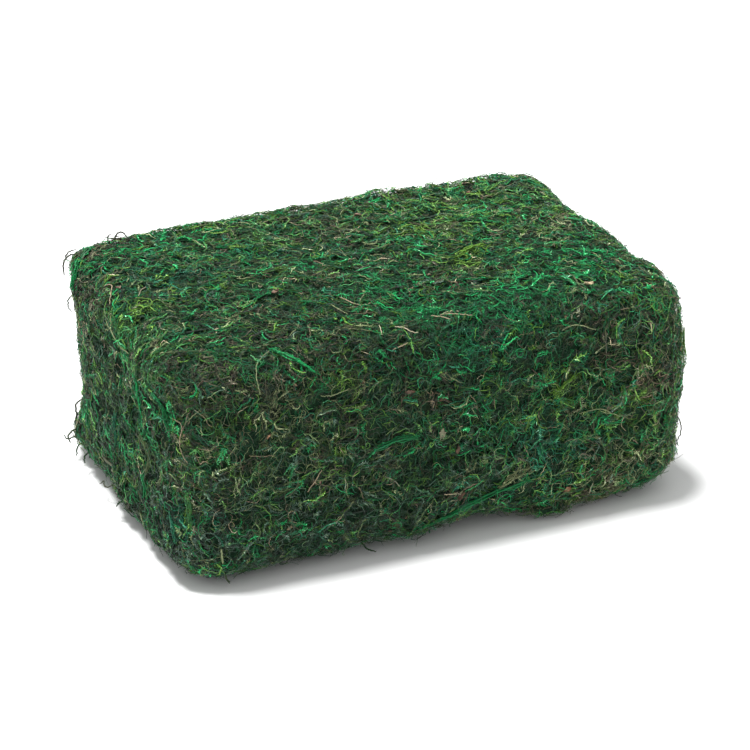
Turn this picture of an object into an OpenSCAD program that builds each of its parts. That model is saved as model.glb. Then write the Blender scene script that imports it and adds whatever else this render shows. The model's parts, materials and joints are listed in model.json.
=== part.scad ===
// Floral foam brick clad in pressed preserved moss.
//
// A block of floral foam is covered on every side with mats of dyed moss,
// and U-shaped greening pins hold the mats to the foam. The long side runs
// along X, the front faces -Y, and the brick stands on Z = 0 with the origin
// at the middle of its underside. Sizes are in millimetres.

/* [Brick] */
// Outside length, along X
length = 304; // [280:1:340]
// Outside width, along Y
width = 208; // [192:1:230]
// Outside height, along Z
height = 129; // [120:1:150]
// Radius of the four upright edges
plan_radius = 32; // [18:1:40]
// Radius of the eight level edges
edge_radius = 23; // [14:1:28]

/* [Moss] */
// Moss thickness on the front, back and ends
side_moss = 14; // [12:1:18]
// Moss thickness on top
top_moss = 14; // [12:1:18]
// Moss thickness under the foam
base_moss = 10; // [8:1:14]
// How far the top mats turn down past the foam's top
turn_down = 20; // [10:1:24]
// Height of the lower course on the front and back
lower_course = 50; // [44:1:58]
// Where the two top mats meet, along X
top_seam = -30; // [-32:1:-22]
// Where the two base mats meet, along X
base_seam = 30; // [26:1:32]

/* [Greening pins] */
// Wire diameter
pin_wire = 1.4; // [1:0.1:2]
// Distance between a pin's legs
pin_crown = 16; // [12:1:18]
// Length of a leg, from crown to point
pin_leg = 40; // [30:1:42]
// Depth of the crown below the moss surface
pin_sink = 3; // [2:0.5:4]
// Room round the wire in the moss and foam
pin_room = 0.1; // [0.05:0.05:0.3]

/* [Loose tufts] */
// Length of the tuft that hangs under the front edge
tuft_length = 46; // [30:1:60]
// Where the middle of that tuft is, along X
tuft_x = 62; // [0:1:80]
// Height of the tuft
tuft_height = 14; // [10:1:18]
// Height of the tuft that sticks out at the back left corner
corner_height = 26; // [16:1:30]

/* [Hidden] */
$fn = 64;

core_length = length - 2 * side_moss;
core_width = width - 2 * side_moss;
core_top = height - top_moss;
turn_line = core_top - turn_down;
far = 2 * length;

foam_green = "#3f6b3a";
moss_bright = "#1f7a45";
moss_deep = "#1f4a2a";
moss_olive = "#4b5a2c";
wire_green = "#2f3b30";

// Where the pins stand on each face, as [along, across] in the face's own plane.
// The shares keep the pins of one face clear of the seams and of the next face's pins.
side_heights = [0.24 * height, 0.58 * height];
top_sites = [for (x = [-0.38, -0.22, 0.02, 0.18, 0.35], y = [-0.22, 0.22]) [x * length, y * width]];
base_sites = [for (x = [-0.28, -0.1, 0.17, 0.28], y = [-0.2, 0.2]) [x * length, y * width]];
long_side_sites = [for (x = [-0.36, -0.18, 0, 0.18, 0.36], z = side_heights) [x * length, z]];
end_sites = [for (y = [-0.18, 0, 0.18], z = side_heights) [y * width, z]];

// ---- shared shapes ----

// A flat rectangle with round corners, centred on the origin
module round_plate(size_x, size_y, radius) {
    square([size_x - 2 * radius, size_y], center = true);
    square([size_x, size_y - 2 * radius], center = true);
    for (x = [-1, 1], y = [-1, 1])
        translate([x * (size_x / 2 - radius), y * (size_y / 2 - radius)])
            circle(radius);
}

// The outside of the moss: a block with all its edges round
module outer_block() {
    intersection() {
        linear_extrude(height)
            round_plate(length, width, plan_radius);
        translate([0, width / 2, height / 2]) rotate([90, 0, 0])
            linear_extrude(width)
                round_plate(length, height, edge_radius);
        translate([-length / 2, 0, height / 2]) rotate([90, 0, 90])
            linear_extrude(length)
                round_plate(width, height, edge_radius);
    }
}

// A plain box from its lowest to its highest corner
module box(low, high) {
    translate(low) cube(high - low);
}

// The foam's own outline
module core_block() {
    box([-core_length / 2, -core_width / 2, base_moss],
        [core_length / 2, core_width / 2, core_top]);
}

// The stretch of moss that lies between two corners, with the pins' room cut out
module moss_between(low, high) {
    difference() {
        intersection() {
            outer_block();
            box(low, high);
        }
        core_block();
        pin_room_on_every_face();
    }
}

// ---- greening pins ----

// One pin with its crown at Z = 0 and its legs pointing down
module greening_pin() {
    wire = pin_wire / 2;
    point = 3 * pin_wire;
    for (side = [-1, 1]) translate([side * pin_crown / 2, 0, 0]) {
        sphere(wire);
        translate([0, 0, point - pin_leg]) cylinder(h = pin_leg - point, r = wire);
        translate([0, 0, -pin_leg]) cylinder(h = point, r1 = wire / 4, r2 = wire);
    }
    translate([-pin_crown / 2, 0, 0]) rotate([0, 90, 0])
        cylinder(h = pin_crown, r = wire);
}

// The room one pin takes: two leg holes, and a slot open to the surface above
module pin_cut() {
    room = pin_wire / 2 + pin_room;
    for (side = [-1, 1])
        translate([side * pin_crown / 2, 0, -pin_leg - pin_room])
            cylinder(h = pin_leg + pin_room, r = room);
    slot_half = pin_crown / 2 + room;
    box([-slot_half, -room, -room], [slot_half, room, 2 * pin_sink]);
}

// Each of these puts its children at every pin site on one face, crown sunk in the moss
module at_top() {
    for (site = top_sites)
        translate([site[0], site[1], height - pin_sink]) children();
}
module at_base() {
    for (site = base_sites)
        translate([site[0], site[1], pin_sink]) rotate([180, 0, 0]) children();
}
module at_front() {
    for (site = long_side_sites)
        translate([site[0], pin_sink - width / 2, site[1]]) rotate([90, 0, 0]) children();
}
module at_back() {
    for (site = long_side_sites)
        translate([site[0], width / 2 - pin_sink, site[1]]) rotate([-90, 0, 0]) children();
}
module at_left_end() {
    for (site = end_sites)
        translate([pin_sink - length / 2, site[0], site[1]])
            rotate([0, -90, 0]) rotate([0, 0, 90]) children();
}
module at_right_end() {
    for (site = end_sites)
        translate([length / 2 - pin_sink, site[0], site[1]])
            rotate([0, 90, 0]) rotate([0, 0, 90]) children();
}

module pin_room_on_every_face() {
    at_top() pin_cut();
    at_base() pin_cut();
    at_front() pin_cut();
    at_back() pin_cut();
    at_left_end() pin_cut();
    at_right_end() pin_cut();
}

module top_pins() { color(wire_green) at_top() greening_pin(); }
module base_pins() { color(wire_green) at_base() greening_pin(); }
module front_pins() { color(wire_green) at_front() greening_pin(); }
module back_pins() { color(wire_green) at_back() greening_pin(); }
module left_end_pins() { color(wire_green) at_left_end() greening_pin(); }
module right_end_pins() { color(wire_green) at_right_end() greening_pin(); }

// ---- foam ----

module foam_core() {
    color(foam_green) difference() {
        core_block();
        pin_room_on_every_face();
    }
}

// ---- moss mats ----

// The two top mats cover the top and turn down a little on all four sides
module top_moss_left() {
    color(moss_bright) moss_between([-far, -far, turn_line], [top_seam, far, far]);
}
module top_moss_right() {
    color(moss_bright) moss_between([top_seam, -far, turn_line], [far, far, far]);
}

// The long sides carry a lower and an upper course, which turn round the corners
module front_moss_upper() {
    color(moss_deep) moss_between([-far, -far, lower_course], [far, -core_width / 2, turn_line]);
}
module front_moss_lower() {
    color(moss_deep) moss_between([-far, -far, 0], [far, -core_width / 2, lower_course]);
}
module back_moss_upper() {
    color(moss_deep) moss_between([-far, core_width / 2, lower_course], [far, far, turn_line]);
}
module back_moss_lower() {
    color(moss_deep) moss_between([-far, core_width / 2, 0], [far, far, lower_course]);
}

// One mat hangs down each end, between the long sides
module left_end_moss() {
    color(moss_olive) moss_between([-far, -core_width / 2, 0],
                                   [-core_length / 2, core_width / 2, turn_line]);
}
module right_end_moss() {
    color(moss_olive) moss_between([core_length / 2, -core_width / 2, 0],
                                   [far, core_width / 2, turn_line]);
}

// Two mats lie under the foam
module base_moss_left() {
    color(moss_deep) moss_between([-core_length / 2, -core_width / 2, 0],
                                  [base_seam, core_width / 2, base_moss]);
}
module base_moss_right() {
    color(moss_deep) moss_between([base_seam, -core_width / 2, 0],
                                  [core_length / 2, core_width / 2, base_moss]);
}

// ---- loose tufts, which fill out the round edges where moss has come away ----

module front_loose_tuft() {
    color(moss_bright) difference() {
        intersection() {
            box([tuft_x - tuft_length / 2, -width / 2, 0],
                [tuft_x + tuft_length / 2, -width / 2 + edge_radius, tuft_height]);
            translate([tuft_x, -width / 2 + tuft_length / 2, 0])
                cylinder(h = tuft_height, r = tuft_length / 2);
        }
        outer_block();
    }
}

module corner_loose_tuft() {
    color(moss_olive) difference() {
        intersection() {
            box([-length / 2, width / 2 - plan_radius, 0],
                [-length / 2 + plan_radius, width / 2, corner_height]);
            translate([-length / 2 + plan_radius, width / 2 - plan_radius, 0])
                cylinder(h = corner_height, r = 1.22 * plan_radius);
        }
        outer_block();
    }
}

foam_core();
top_moss_left();
top_moss_right();
front_moss_upper();
front_moss_lower();
back_moss_upper();
back_moss_lower();
left_end_moss();
right_end_moss();
base_moss_left();
base_moss_right();
front_loose_tuft();
corner_loose_tuft();
top_pins();
base_pins();
front_pins();
back_pins();
left_end_pins();
right_end_pins();
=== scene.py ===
"""Looks for the moss-covered floral foam brick: mats, strands, fronds, twigs and flakes.

The brick stands on Z = 0 with its long front face towards -Y. Lengths are in
metres, and MM turns millimetres into metres. The moss is laid on one smooth
outline, made lumpy by noise, and every strand is a closed tube of its own.
"""
import itertools
import json
import math

import bpy
import numpy as np
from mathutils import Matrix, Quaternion, Vector

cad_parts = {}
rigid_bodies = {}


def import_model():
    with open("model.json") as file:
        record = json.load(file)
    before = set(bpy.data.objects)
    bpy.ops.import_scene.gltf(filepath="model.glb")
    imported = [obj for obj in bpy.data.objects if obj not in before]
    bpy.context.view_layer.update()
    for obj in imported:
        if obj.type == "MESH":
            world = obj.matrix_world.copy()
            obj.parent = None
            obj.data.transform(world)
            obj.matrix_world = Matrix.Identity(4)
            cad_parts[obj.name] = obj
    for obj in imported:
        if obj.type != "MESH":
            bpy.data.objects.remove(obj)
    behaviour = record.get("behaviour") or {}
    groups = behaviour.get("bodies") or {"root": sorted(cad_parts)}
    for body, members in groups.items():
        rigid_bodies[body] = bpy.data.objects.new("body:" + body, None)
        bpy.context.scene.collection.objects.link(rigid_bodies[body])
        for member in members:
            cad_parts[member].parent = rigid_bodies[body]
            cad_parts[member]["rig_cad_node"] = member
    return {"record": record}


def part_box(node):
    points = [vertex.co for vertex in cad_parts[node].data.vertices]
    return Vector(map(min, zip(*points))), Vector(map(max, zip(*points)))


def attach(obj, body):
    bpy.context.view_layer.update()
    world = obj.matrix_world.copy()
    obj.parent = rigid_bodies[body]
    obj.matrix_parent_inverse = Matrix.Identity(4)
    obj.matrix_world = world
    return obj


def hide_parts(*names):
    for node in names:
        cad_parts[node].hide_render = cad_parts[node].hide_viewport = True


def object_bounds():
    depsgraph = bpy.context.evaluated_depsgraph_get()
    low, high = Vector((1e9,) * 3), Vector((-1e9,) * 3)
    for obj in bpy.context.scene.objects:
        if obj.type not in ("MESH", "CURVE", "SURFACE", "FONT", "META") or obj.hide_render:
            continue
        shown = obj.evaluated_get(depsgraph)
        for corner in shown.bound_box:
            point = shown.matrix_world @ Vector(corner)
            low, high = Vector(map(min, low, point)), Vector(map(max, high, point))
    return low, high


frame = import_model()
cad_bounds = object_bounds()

MM = 0.001
SEED = 20

# ---- the brick's outline ----

LOW = np.array(cad_bounds[0])
HIGH = np.array(cad_bounds[1])
HALF = (HIGH - LOW) / 2
CENTRE = (HIGH + LOW) / 2
PLAN_RADIUS = 32 * MM
EDGE_RADIUS = 23 * MM
FLOOR_GAP = 0.3 * MM

# Tufts that hang off the outline: centre and half sizes, in millimetres
TUFTS = [
    ((-136, 79, 17), (16, 22, 12)),
    ((64, -92, 8), (21, 11, 6.5)),
]
TUFT_BLEND = 5 * MM

# Dents in the outline: centre, radius and depth, in millimetres. Bulges are below zero.
DENTS = [
    ((-120, 104, 129), 22, 2.0),
    ((-148, 84, 44), 26, 9.0),
    ((-148, 84, 84), 20, 7.0),
    ((-148, 84, 104), 17, 5.2),
    ((-146, 88, 118), 9, -2.2),
    ((-148, 31, 12), 14, 1.5),
    ((146, 58, 122), 20, 1.7),
    ((146, 20, 123), 22, 3.2),
    ((146, -28, 123), 20, 4.0),
    ((147, -80, 115), 20, 3.5),
    ((149, -88, 26), 14, 1.0),
    ((134, -92, 8), 14, 1.5),
    ((150, -89, 72), 27, -2.8),
    ((-150, -6, 11), 16, -3.5),
    ((-5, 92, 128), 11, -1.8),
    ((47, 92, 128), 15, -2.5),
    ((100, 92, 127), 12, -1.5),
    ((-70, 92, 128), 12, -2.0),
    ((-144, -80, 6), 22, -1.2),
    ((-76, -94, 4), 16, 1.4),
    ((-32, -98, 3), 17, 3.6),
    ((26, -98, 3), 26, 5.2),
    ((76, -94, 4), 24, 1.0),
]

# The crease along the front, where the moss turned up from the base ends: height of its
# middle and its width, depth and lip, in millimetres
CREASE_HEIGHT = 48
CREASE_WIDTH = 3.0
CREASE_DEPTH = 2.0
CREASE_LIP = 1.0

# Lumps of the moss: height and size in millimetres, and the seed of their noise
LUMPS = [(1.6, 60, 1), (1.5, 24, 2), (0.9, 10, 3), (0.5, 5, 8)]
# How far the moss lies under the outline on average, in millimetres
SINK = 1.5

# Patches of colour: centre and radius in millimetres, and shift along the dye scale.
# A negative shift is greener, a positive one browner.
PATCHES = [
    ((0, -62, 129), 26, -0.28),
    ((24, -92, 126), 22, -0.22),
    ((39, -101, 116), 16, -0.14),
    ((84, -73, 129), 32, -0.14),
    ((20, -104, 96), 30, -0.10),
    ((-145, 78, 116), 16, -0.20),
    ((-95, -60, 128), 24, -0.10),
    ((-85, 39, 129), 22, -0.12),
    ((-23, 12, 129), 14, -0.12),
    ((-89, -104, 96), 20, -0.06),
    ((-152, -40, 72), 26, -0.08),
    ((92, -101, 116), 20, 0.10),
    ((-133, -92, 122), 20, 0.22),
    ((-77, -99, 118), 26, 0.14),
    ((29, -104, 72), 14, 0.12),
    ((84, -104, 31), 22, 0.10),
    ((-105, -104, 66), 38, 0.10),
    ((-150, 56, 116), 14, 0.08),
    ((0, 30, 129), 120, -0.04),
    ((92, -104, 44), 34, 0.08),
    ((100, 46, 129), 30, 0.06),
    ((-50, 66, 129), 20, 0.12),
    ((131, -93, 124), 14, 0.14),
    ((-152, -20, 60), 60, -0.09),
]

# Painted light and shade, besides some of the moss's own tone: lighter and darker patches, with centre
# and radius in millimetres, and share lighter. The top's back edge and the lower front are painted
# lighter, and the foot of the left end darker.
PAINTED_LIGHT_AND_TONE = [
    ((107, 40, 129), 40, 0.32),
    ((60, 85, 127), 50, 0.42),
    ((-60, 85, 127), 50, 0.38),
    ((84, -70, 129), 26, 0.14),
    ((22, -58, 129), 24, -0.20),
    ((-72, -48, 129), 36, -0.20),
    ((-148, -72, 116), 22, -0.24),
    ((104, -104, 26), 40, 0.40),
    ((108, -104, 74), 40, 0.26),
    ((55, -104, 18), 24, 0.25),
    ((-90, -104, 40), 56, 0.26),
    ((20, -104, 44), 46, 0.26),
    ((-120, 30, 129), 30, 0.12),
    ((-150, 0, 20), 46, -0.24),
    ((-152, -70, 20), 30, -0.22),
    ((-152, 20, 70), 60, -0.10),
    ((37, -104, 57), 16, 0.14),
    ((17, -104, 61), 12, 0.12),
    ((110, -104, 42), 14, 0.12),
    ((56, -103, 16), 14, 0.14),
    ((-84, -104, 99), 14, 0.14),
    ((-101, -104, 50), 14, 0.12),
    ((-119, -104, 18), 16, 0.14),
    ((-37, -74, 129), 12, -0.14),
    ((-30, -98, 121), 12, -0.26),
    ((74, -100, 119), 14, -0.15),
    ((2, -104, 100), 12, -0.12),
    ((-47, -96, 123), 12, -0.14),
    ((26, -104, 38), 30, 0.12),
    ((108, -104, 42), 22, 0.06),
    ((-95, -48, 129), 14, -0.12),
    ((-37, -74, 129), 14, -0.12),
    ((97, -88, 128), 14, 0.12),
    ((36, 76, 129), 30, 0.10),
]
# Painted shade: the front's rounded top edge is painted darker all along
PAINTED_LIGHT_AND_TONE += [((x, -99, 121), 26, -0.40) for x in range(-140, 101, 40)]

# Zones and tufts of one colour: centre and radius in millimetres, share of their strands, dye
TINTS = [
    ((95, 45, 129), 48, 0.30, "leaf"),
    ((70, 60, 129), 44, 0.18, "lime"),
    ((110, -10, 129), 30, 0.16, "straw"),
    ((-30, 50, 129), 60, 0.16, "leaf"),
    ((-100, -104, 60), 40, 0.22, "olive"),
    ((-60, -104, 20), 60, 0.30, "dark"),
    ((20, -104, 60), 50, 0.16, "dark"),
    ((0, -64, 129), 22, 0.70, "emerald"),
    ((-22, -80, 129), 12, 0.60, "emerald"),
    ((50, -70, 129), 15, 0.55, "emerald"),
    ((106, -52, 129), 20, 0.65, "emerald"),
    ((-12, -42, 129), 15, 0.50, "green"),
    ((-10, 0, 129), 22, 0.45, "green"),
    ((-147, -20, 118), 24, 0.50, "leaf"),
    ((-150, -60, 112), 15, 0.50, "leaf"),
    # Painted light: the slate tints low on the front and the left end paint in a bluish grey, standing in
    # for light bounced up from the floor
    ((-118, -104, 24), 42, 0.50, "slate"),
    ((-50, -104, 20), 42, 0.45, "slate"),
    ((30, -104, 20), 40, 0.30, "slate"),
    ((-150, -66, 24), 34, 0.40, "slate"),
    ((-152, 30, 44), 30, 0.30, "slate"),
    ((28, -88, 127), 18, 0.70, "emerald"),
    ((66, -76, 129), 16, 0.60, "emerald"),
    ((-124, 70, 129), 14, 0.70, "emerald"),
    ((-152, -50, 76), 9, 0.90, "emerald"),
    ((-149, -84, 96), 8, 0.90, "emerald"),
    ((-70, -102, 118), 8, 0.90, "emerald"),
    ((12, -104, 24), 13, 0.30, "teal"),
    ((-150, -84, 38), 9, 0.80, "teal"),
    ((60, -104, 46), 14, 0.80, "teal"),
    ((20, -100, 116), 16, 0.60, "teal"),
    ((-110, 20, 129), 16, 0.60, "teal"),
    ((69, -104, 84), 9, 0.90, "lime"),
    ((56, -10, 129), 8, 0.90, "lime"),
    ((44, -22, 129), 7, 0.90, "lime"),
    ((44, 30, 129), 10, 0.80, "lime"),
    ((-138, -4, 127), 8, 0.90, "lime"),
    ((-60, -104, 110), 8, 0.80, "lime"),
    ((115, -100, 62), 8, 0.80, "lime"),
    ((108, -104, 22), 16, 0.45, "straw"),
    ((-152, -46, 62), 8, 0.80, "olive"),
    ((-21, -104, 97), 6, 0.80, "brown"),
    ((-2, -104, 88), 6, 0.80, "brown"),
    ((9, -104, 29), 6, 0.80, "brown"),
    ((-110, -60, 129), 9, 0.60, "brown"),
    ((30, -98, 118), 7, 0.70, "brown"),
    ((124, -102, 74), 9, 0.60, "brown"),
    ((-137, 76, 127), 8, 0.80, "umber"),
    ((-118, 88, 127), 9, 0.80, "umber"),
    ((-150, 60, 112), 12, 0.80, "umber"),
    ((-152, -2, 68), 14, 0.80, "dark"),
    ((-10, -104, 40), 16, 0.70, "dark"),
    ((44, -104, 34), 7, 0.80, "straw"),
    ((-95, -104, 100), 12, 0.60, "straw"),
]


def unit(vectors):
    """The vectors, each scaled to length 1."""
    return vectors / np.maximum(np.linalg.norm(vectors, axis=-1, keepdims=True), 1e-9)


def smooth_min(a, b, blend):
    """The lesser of two distances, rounded off where they are nearly equal."""
    share = np.clip(0.5 + 0.5 * (b - a) / blend, 0, 1)
    return b + (a - b) * share - blend * share * (1 - share)


def block_distance(p):
    """Distance from points to the plain rounded block, negative inside."""
    corner = np.abs(p[..., :2]) - (HALF[:2] - PLAN_RADIUS)
    outside = np.linalg.norm(np.maximum(corner, 0), axis=-1)
    plan = outside + np.minimum(corner.max(axis=-1), 0) - PLAN_RADIUS
    side = plan + EDGE_RADIUS
    level = np.abs(p[..., 2] - HALF[2]) - HALF[2] + EDGE_RADIUS
    rounded = np.hypot(np.maximum(side, 0), np.maximum(level, 0))
    return rounded + np.minimum(np.maximum(side, level), 0) - EDGE_RADIUS


def distance(p):
    """Distance from points to the brick's outline with its tufts, negative inside."""
    found = block_distance(p)
    for centre, radii in TUFTS:
        radii = np.array(radii) * MM
        scaled = (p - np.array(centre) * MM) / radii
        tuft = (np.linalg.norm(scaled, axis=-1) - 1) * radii.min()
        found = smooth_min(found, tuft, TUFT_BLEND)
    return found


def normal_at(p):
    """The outline's outward direction at points."""
    reach = 0.5 * MM
    parts = []
    for axis in np.eye(3):
        parts.append(distance(p + axis * reach) - distance(p - axis * reach))
    return unit(np.stack(parts, axis=-1))


LATTICES = {}


def noise(p, size, seed):
    """Smooth noise from -1 to 1, with blobs about SIZE millimetres across."""
    if seed not in LATTICES:
        LATTICES[seed] = np.random.default_rng(seed).uniform(-1, 1, (32, 32, 32))
    lattice = LATTICES[seed]
    scaled = p / (size * MM)
    cell = np.floor(scaled).astype(int)
    part = scaled - cell
    part = part * part * (3 - 2 * part)
    total = np.zeros(p.shape[:-1])
    for corner in itertools.product((0, 1), repeat=3):
        weight = np.prod(np.where(corner, part, 1 - part), axis=-1)
        x, y, z = np.moveaxis((cell + corner) % 32, -1, 0)
        total += weight * lattice[x, y, z]
    return total


def bump_sum(p, bumps):
    """Sum of round bumps, each a centre and radius in millimetres and a height of any kind."""
    total = np.zeros(p.shape[:-1])
    for centre, radius, height in bumps:
        away = np.linalg.norm(p - np.array(centre) * MM, axis=-1) / (radius * MM)
        total += height * np.exp(-away**2)
    return total


def lumps(p):
    """How far the moss stands out of the outline at points, in metres.

    The sides have level layers besides, and the ends upright folds.
    """
    normal = np.abs(normal_at(p))
    found = crease(p) - SINK - bump_sum(p, DENTS)
    for height, size, seed in LUMPS:
        found += height * noise(p, size, seed)
    layers = noise(p * np.array([0.35, 0.35, 1]), 11, 4) * (1 - normal[..., 2])
    folds = noise(p * np.array([1, 1, 0.3]), 9, 11) * normal[..., 0]
    return (found + layers + folds) * MM


def crease(p):
    """The fold along the front, in millimetres: a groove with a lip under it."""
    front = np.clip(-p[..., 1] / HALF[1] * 6 - 5, 0, 1)
    above = p[..., 2] / MM - CREASE_HEIGHT - 5 * noise(p * np.array([1, 0, 0]), 40, 10)
    groove = -CREASE_DEPTH * np.exp(-(above / CREASE_WIDTH) ** 2)
    lip = CREASE_LIP / (1 + np.exp(np.clip(above / CREASE_WIDTH, -30, 30)))
    return front * (groove + lip)


def settle(p, height):
    """Moves points along the outline's normal until they are at HEIGHT above the lumpy surface."""
    for _ in range(3):
        p = p - normal_at(p) * (distance(p) - lumps(p) - height)[..., None]
    return p


def floor_stop(p):
    """Keeps points just above the floor."""
    p[..., 2] = np.maximum(p[..., 2], FLOOR_GAP)
    return p


# ---- laying strands ----

# How even the strands' turns are: few and sharp when low, many and slight when high
KINKS = 2.2
# How far the rings of a strand stray from its line
CRINKLE = 0.16 * MM

# Steps of an additive sequence that spreads points evenly over any two of three axes
EVEN_STEPS = np.array([0.8191725, 0.6710436, 0.5497005])
# How far the points stray from the even spread, as a share of their spacing
JITTER = 0.35


def scatter(count, rng, shares):
    """Points on the outline: SHARES gives each side's density, as {(axis, side): share}."""
    size = 2 * HALF
    faces = list(shares)
    area = np.array([np.prod(np.delete(size, axis)) * shares[axis, side] for axis, side in faces])
    numbers = rng.multinomial(count, area / area.sum())
    found = []
    for (axis, side), number in zip(faces, numbers):
        even = (rng.random(3) + np.arange(number)[:, None] * EVEN_STEPS) % 1
        spacing = math.sqrt(np.prod(np.delete(size, axis)) / max(number, 1))
        p = LOW + even * size + rng.normal(0, JITTER * spacing, even.shape)
        p[:, axis] = HIGH[axis] if side > 0 else LOW[axis]
        found.append(p)
    p = np.concatenate(found)
    return settle(p, 0)


def combed(p, normals, rng, spread):
    """Headings in the surface: along the length, but upright on the ends, give or take SPREAD radians."""
    swirl = math.radians(28) * noise(p, 45, 5)
    ends = np.abs(normals[:, 0]) > 0.6
    along = np.where(ends[:, None], [0.0, 0.0, 1.0], [1.0, 0.0, 0.0])
    along = unit(along - normals * np.sum(along * normals, axis=-1, keepdims=True))
    along *= rng.choice([-1, 1], len(p))[:, None]
    return turned(along, normals, swirl + rng.normal(0, 1, len(p)) * spread)


def turned(headings, normals, angle):
    """The headings, turned about their normals by ANGLE in radians."""
    across = np.cross(normals, headings)
    return headings * np.cos(angle)[:, None] + across * np.sin(angle)[:, None]


def lay(starts, headings, lengths, rng, steps, curl, wander, depth, wave, rise, bundle=None):
    """Walks strands over the lumpy surface.

    CURL is each strand's steady turn and WANDER its random turn, in radians per
    metre. DEPTH is its mean height over the surface, WAVE the height of its
    weave, and RISE how far its free end lifts. Strands with the same BUNDLE
    number turn together. Returns paths and normals.
    """
    count = len(starts)
    if bundle is None:
        bundle = np.arange(count)
    step = lengths / steps
    phase = rng.random(count) * 2 * math.pi
    pace = rng.uniform(0.8, 2.4, count)
    p = starts.copy()
    heading = headings
    paths = []
    normals = []
    for k in range(steps + 1):
        normal = normal_at(p)
        weave = wave * np.sin(phase + pace * k)
        lift = rise * (k / steps) ** 2
        p = p - normal * (distance(p) - lumps(p) - depth - weave - lift)[:, None]
        paths.append(floor_stop(p + rng.normal(0, CRINKLE, p.shape)))
        normals.append(normal)
        heading = unit(heading - normal * np.sum(heading * normal, axis=-1, keepdims=True))
        turn = np.clip(rng.standard_t(KINKS, bundle.max() + 1), -3.5, 3.5)[bundle]
        heading = turned(heading, normal, (curl + wander * turn) * step)
        p = p + heading * step[:, None]
    return np.stack(paths, axis=1), np.stack(normals, axis=1)


# ---- meshes of many small solids ----

class Heap:
    """Vertices and faces of many small closed solids.

    Each vertex has a dye, a shade, its place along the strand from 0 to 1, and the
    strand's number.
    """

    def __init__(self):
        self.points = []
        self.quads = []
        self.triangles = []
        self.dye = []
        self.shade = []
        self.along = []
        self.strand = []
        self.count = 0

    def add(self, points, quads, triangles, dye, shade, along, strand):
        """Adds solids whose face indices count from their own first vertex."""
        self.points.append(points)
        self.quads.append(quads + self.count)
        self.triangles.append(triangles + self.count)
        self.dye.append(dye)
        self.shade.append(shade)
        self.along.append(along)
        self.strand.append(strand)
        self.count += len(points)

    def triangle_count(self):
        """How many triangles the faces come to."""
        return sum(2 * len(q) for q in self.quads) + sum(len(t) for t in self.triangles)


def tube_faces(rings, sides):
    """Quads along one tube and triangles over its two ends."""
    quads = []
    for k in range(rings - 1):
        for s in range(sides):
            after = (s + 1) % sides
            low = k * sides
            high = low + sides
            quads.append((low + s, low + after, high + after, high + s))
    last = (rings - 1) * sides
    ends = [(0, s + 1, s) for s in range(1, sides - 1)]
    ends += [(last, last + s, last + s + 1) for s in range(1, sides - 1)]
    return np.array(quads), np.array(ends)


def add_tubes(heap, paths, normals, width, dye, shade, first_strand=0, taper=0.35, sides=3):
    """Adds one closed tube along each path, which thins to TAPER of its width at both ends."""
    count, rings, _ = paths.shape
    tangent = unit(np.gradient(paths, axis=1))
    across = unit(np.cross(tangent, normals))
    out = np.cross(across, tangent)
    share = np.linspace(0, 1, rings)
    thin = taper + (1 - taper) * np.sqrt(np.sin(math.pi * np.clip(share, 0.04, 0.96)))
    radius = 0.5 * width[:, None] * thin[None, :]
    points = []
    for s in range(sides):
        angle = 2 * math.pi * s / sides
        offset = across * math.cos(angle) + out * math.sin(angle)
        points.append(paths + offset * radius[..., None])
    points = np.stack(points, axis=2).reshape(-1, 3)
    quads, ends = tube_faces(rings, sides)
    each = rings * sides
    base = np.arange(count)[:, None, None] * each
    heap.add(
        points,
        (quads[None] + base).reshape(-1, 4),
        (ends[None] + base).reshape(-1, 3),
        np.repeat(dye, each),
        np.repeat(shade, each),
        np.repeat(np.tile(share, count), sides),
        np.repeat(np.arange(count) + first_strand, each),
    )


# The triangles of a leaflet: root, three points round its middle, and tip
LEAFLET_FACES = np.array([(0, 2, 1), (0, 3, 2), (0, 1, 3), (4, 1, 2), (4, 2, 3), (4, 3, 1)])


def add_leaflets(heap, roots, directions, normals, lengths, widths, dye, shade, along, strand):
    """Adds one small closed blade at each root: two tips and a flattened middle."""
    across = unit(np.cross(directions, normals))
    middle = roots + directions * (0.4 * lengths)[:, None]
    half = (0.5 * widths)[:, None]
    points = np.stack(
        [
            roots,
            middle + across * half,
            middle + normals * half * 0.5,
            middle - across * half,
            roots + directions * lengths[:, None],
        ],
        axis=1,
    ).reshape(-1, 3)
    count = len(roots)
    base = np.arange(count)[:, None, None] * 5
    heap.add(
        floor_stop(points),
        np.zeros((0, 4), int),
        (LEAFLET_FACES[None] + base).reshape(-1, 3),
        np.repeat(dye, 5),
        np.repeat(shade, 5),
        np.repeat(along, 5),
        np.repeat(strand, 5),
    )


# Leaflets on a stem: pairs, reach in millimetres, breadth as a share of the stem's, and slant
# from the stem in radians
FEATHER = {"pairs": 9, "reach": 2.3, "breadth": (0.7, 1.2), "slant": (0.45, 1.3)}
ROPE = {"pairs": 12, "reach": 1.4, "breadth": (0.8, 1.3), "slant": (0.2, 0.75)}


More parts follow.
